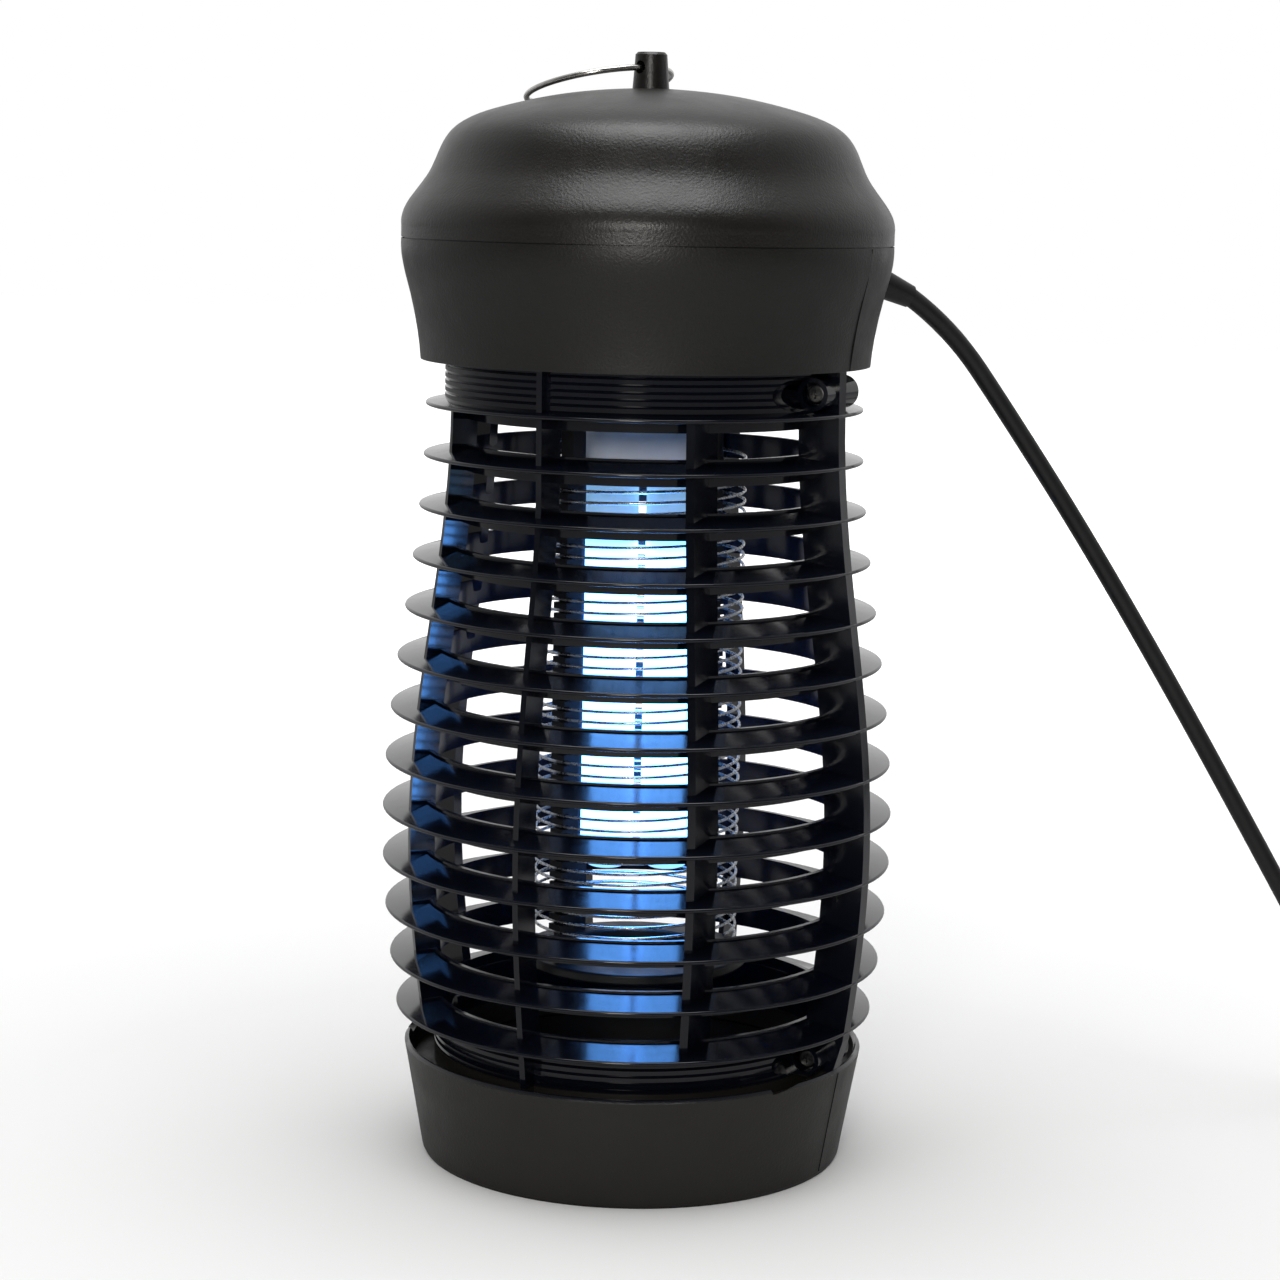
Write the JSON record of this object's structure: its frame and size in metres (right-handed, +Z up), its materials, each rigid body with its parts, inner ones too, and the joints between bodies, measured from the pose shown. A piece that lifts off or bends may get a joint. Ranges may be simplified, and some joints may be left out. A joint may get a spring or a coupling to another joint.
{
  "type": "electric bug zapper",
  "caption": "Lantern-shaped electric bug zapper: black louvred cage around a high-voltage wire grid and a UV lamp, domed cap with a wire hanging ring, pull-out catch tray and mains cord.",
  "frame": {"origin": "centre of the base's foot ring, on the surface that it stands on", "axes": "+Z up, -Y towards the front (centre rib of the front half-shell), +X to the right seen from the front"},
  "size_m": [0.4198, 0.3173, 0.4091],
  "materials": {
    "shell_plastic": "glossy black moulded plastic, fine mould texture on the skirt",
    "cap_plastic": "fine-textured satin black moulded plastic",
    "screw_steel": "dark zinc-plated cross-head screws",
    "ring_wire": "bright plated steel wire",
    "inner_plastic": "matt black plastic",
    "socket_plastic": "off-white heat-resistant plastic",
    "contact_brass": "plated brass contacts",
    "lamp_glass": "lit blue-white fluorescent tube",
    "grid_wire": "bright steel wire",
    "comb_plastic": "grey insulating plastic",
    "board_laminate": "green solder-resist laminate",
    "transformer_steel": "dark lacquered steel",
    "capacitor_film": "brown dipped film capacitors",
    "cord_rubber": "satin black flexible cord sheath",
    "tie_plastic": "black tie band",
    "plug_rubber": "moulded black plug",
    "lead_sleeve": "insulated inner leads",
    "tray_plastic": "black moulded plastic"
  },
  "bodies": {
    "housing": {"front_shell": "shell_plastic", "rear_shell": "shell_plastic", "shell_screws": "screw_steel", "top_cap": "cap_plastic", "chassis_plate": "inner_plastic", "cap_screws": "screw_steel", "lamp_holder": "socket_plastic", "lamp_base": "socket_plastic", "lamp_pins": "contact_brass", "lamp_tubes": "lamp_glass", "grid_coil_a": "grid_wire", "grid_coil_b": "grid_wire", "grid_posts": "comb_plastic", "grid_end_ring": "comb_plastic", "circuit_board": "board_laminate", "hv_transformer": "transformer_steel", "hv_capacitors": "capacitor_film", "lamp_ballast": "transformer_steel", "terminal_block": "socket_plastic", "cord_strain_relief": "cord_rubber", "power_cord": "cord_rubber", "cord_tail": "cord_rubber", "cord_coil": "cord_rubber", "coil_tie": "tie_plastic", "plug_body": "plug_rubber", "plug_pins": "contact_brass", "mains_leads": "lead_sleeve"},
    "ring": {"hanging_ring": "ring_wire"},
    "tray": {"catch_tray": "tray_plastic"}
  },
  "joints": [
    {"name": "ring_swing", "type": "hinge", "parent": "housing", "child": "ring", "pos_m": [0, 0, 0.4036], "axis": [0.2504, 0.9681, 0], "range_deg": [0, 152]},
    {"name": "tray_slide", "type": "slide", "parent": "housing", "child": "tray", "axis": [0, 0, -1], "range_m": [0, 0.045]}
  ]
}
